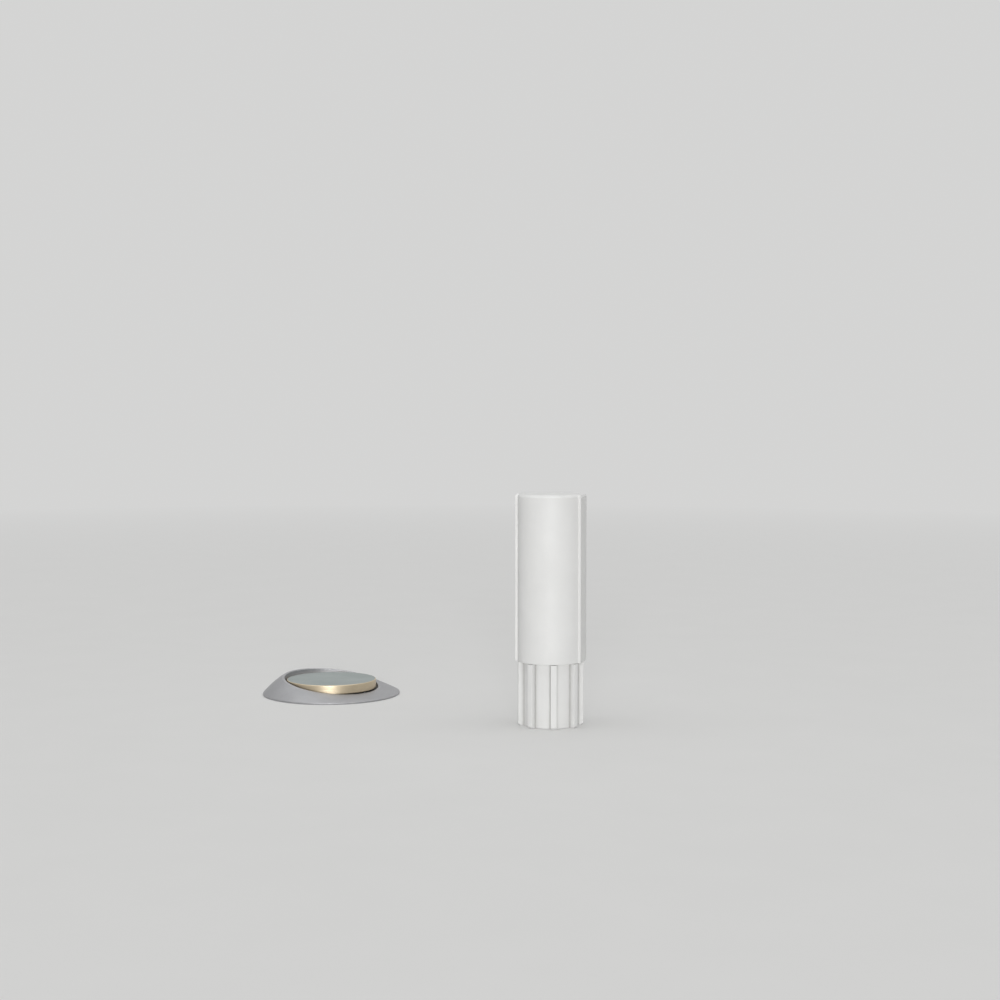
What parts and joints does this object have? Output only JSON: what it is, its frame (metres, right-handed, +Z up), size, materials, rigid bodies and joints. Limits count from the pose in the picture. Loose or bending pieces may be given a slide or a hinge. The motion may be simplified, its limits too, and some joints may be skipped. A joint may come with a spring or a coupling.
{
  "type": "magnetic door stop",
  "caption": "Magnetic door stop: sloped round floor catch with a level steel strike disc, and an upright sleeve unit whose ribbed magnet bolt drops to meet it and springs back.",
  "frame": {"origin": "centre of the floor catch's underside, on the floor", "axes": "+X the way the catch's rim slopes down, towards the magnet unit; +Z up along the magnet unit"},
  "size_m": [0.084, 0.0306, 0.0471],
  "materials": {
    "satin_metal": "satin nickel on a fine cast surface",
    "polished_steel": "satin top, polished edge",
    "black_rubber": "matt elastomer",
    "adhesive_foam": "thin foam pad",
    "white_plastic": "satin moulded white",
    "plated_magnet": "bright nickel plate",
    "spring_steel": "bright zinc plate"
  },
  "bodies": {
    "floor_side": {"floor_base": "satin_metal", "floor_pad": "adhesive_foam", "damper_ring": "black_rubber", "strike_disc": "polished_steel", "drop_bolt": "white_plastic", "magnet": "plated_magnet", "magnet_cap": "white_plastic", "return_spring": "spring_steel", "spring_retainer": "spring_steel", "retainer_screw": "spring_steel"},
    "sleeve": {"guide_sleeve": "white_plastic", "end_cap": "white_plastic"}
  },
  "joints": [
    {"name": "bolt_drop", "type": "slide", "parent": "floor_side", "child": "sleeve", "axis": [0, 0, 1], "range_m": [0, 0.008], "stiffness_N_per_m": 48, "springref_m": -0.008, "deforming": ["return_spring"]}
  ]
}
